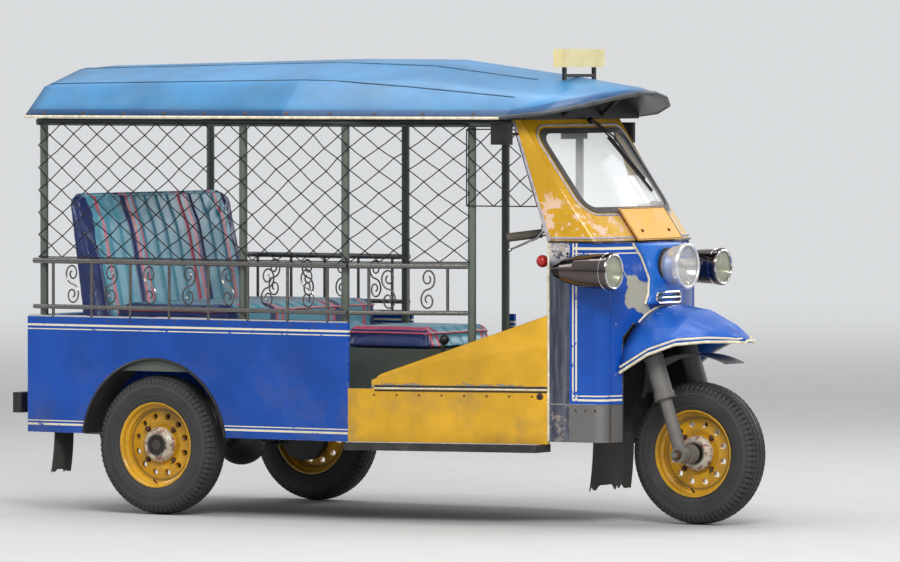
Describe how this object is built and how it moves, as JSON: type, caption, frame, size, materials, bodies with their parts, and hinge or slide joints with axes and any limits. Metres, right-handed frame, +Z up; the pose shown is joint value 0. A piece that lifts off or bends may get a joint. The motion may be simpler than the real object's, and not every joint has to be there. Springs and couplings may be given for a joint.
{
  "type": "auto rickshaw",
  "caption": "Three-wheeled open-sided passenger taxi with a steered front fork, raked windscreen, curved roof and rear bench on a rear axle.",
  "frame": {"origin": "on the ground, midway along and across the vehicle", "axes": "+X forward, +Y to the vehicle's left, +Z up"},
  "size_m": [3.085, 1.296, 1.8153],
  "materials": {
    "chassis_black": "satin black paint with road dirt",
    "cowl_blue": "worn gloss blue paint",
    "bare_aluminium": "dull, scratched sheet",
    "stainless": "polished strip, scratched",
    "underbody": "dark undercoat",
    "flap_rubber": "matt",
    "frame_yellow": "worn gloss yellow paint",
    "seal_rubber": "satin",
    "screen_glass": "clear",
    "black_trim": "satin",
    "plate_amber": "reflective sheet, blank",
    "chrome": "polished",
    "lamp_glass": "fluted lens",
    "roof_blue": "gloss sky-blue paint",
    "frame_grey": "satin grey-green paint",
    "sign_cream": "blank sign",
    "lamp_red": "moulded lens",
    "engine_metal": "oily casting",
    "seat_vinyl": "vinyl with welted pleats",
    "net_cord": "twisted cord net",
    "fork_grey": "worn grey paint",
    "grip_rubber": "ribbed",
    "tyre": "ribbed",
    "rim_yellow": "chipped yellow paint"
  },
  "bodies": {
    "body": {"bench_base": "frame_grey", "chassis_frame": "chassis_black", "cowl_skirt": "bare_aluminium", "cowl_strips": "stainless", "dashboard": "black_trim", "driver_controls": "black_trim", "driver_seat": "seat_vinyl", "engine_block": "engine_metal", "engine_cover": "frame_grey", "exhaust": "engine_metal", "floor_pan": "chassis_black", "front_cowl": "cowl_blue", "front_mudguard": "cowl_blue", "headlamp_lens": "lamp_glass", "headlamp_shell": "chrome", "leaf_springs": "chassis_black", "mirrors": "black_trim", "mudflaps": "flap_rubber", "nose_panel": "cowl_blue", "number_plate": "plate_amber", "passenger_backrest": "seat_vinyl", "passenger_cushion": "seat_vinyl", "rear_arches": "underbody", "rear_axle": "chassis_black", "rear_bumper": "chassis_black", "rear_panel": "cowl_blue", "roof_bows": "frame_grey", "roof_frame": "frame_grey", "roof_header": "black_trim", "roof_panel": "roof_blue", "roof_posts": "frame_grey", "roof_sign": "sign_cream", "running_boards": "chassis_black", "side_fairings": "frame_yellow", "side_lamp_lenses": "lamp_glass", "side_lamp_shells": "chrome", "side_net": "net_cord", "side_rails": "chrome", "sill_panels": "frame_yellow", "steering_head": "chassis_black", "tail_lamps": "lamp_red", "tub_side_left": "cowl_blue", "tub_side_right": "cowl_blue", "wheel_well": "underbody", "windscreen_frame": "frame_yellow", "windscreen_glass": "screen_glass", "windscreen_rubber": "seal_rubber", "wiper": "black_trim"},
    "steering": {"fork": "fork_grey", "handlebar": "chrome", "grips": "grip_rubber", "inner_fender": "fork_grey"},
    "front_wheel": {"front_tyre": "tyre", "front_rim": "rim_yellow"},
    "rear_wheel_right": {"rear_tyre_right": "tyre", "rear_rim_right": "rim_yellow"},
    "rear_wheel_left": {"rear_tyre_left": "tyre", "rear_rim_left": "rim_yellow"}
  },
  "joints": [
    {"name": "steer", "type": "hinge", "parent": "body", "child": "steering", "pos_m": [1.22732, 0, 0.25822], "axis": [-0.3173, 0, 0.9483], "range_deg": [-30, 30]},
    {"name": "front_wheel_spin", "type": "hinge", "parent": "steering", "child": "front_wheel", "pos_m": [1.27, 0, 0.2725], "axis": [0, 1, 0], "continuous": true},
    {"name": "rear_wheel_right_spin", "type": "hinge", "parent": "body", "child": "rear_wheel_right", "pos_m": [-0.83, -0.555, 0.2725], "axis": [0, 1, 0], "continuous": true},
    {"name": "rear_wheel_left_spin", "type": "hinge", "parent": "body", "child": "rear_wheel_left", "pos_m": [-0.83, 0.555, 0.2725], "axis": [0, 1, 0], "continuous": true}
  ]
}
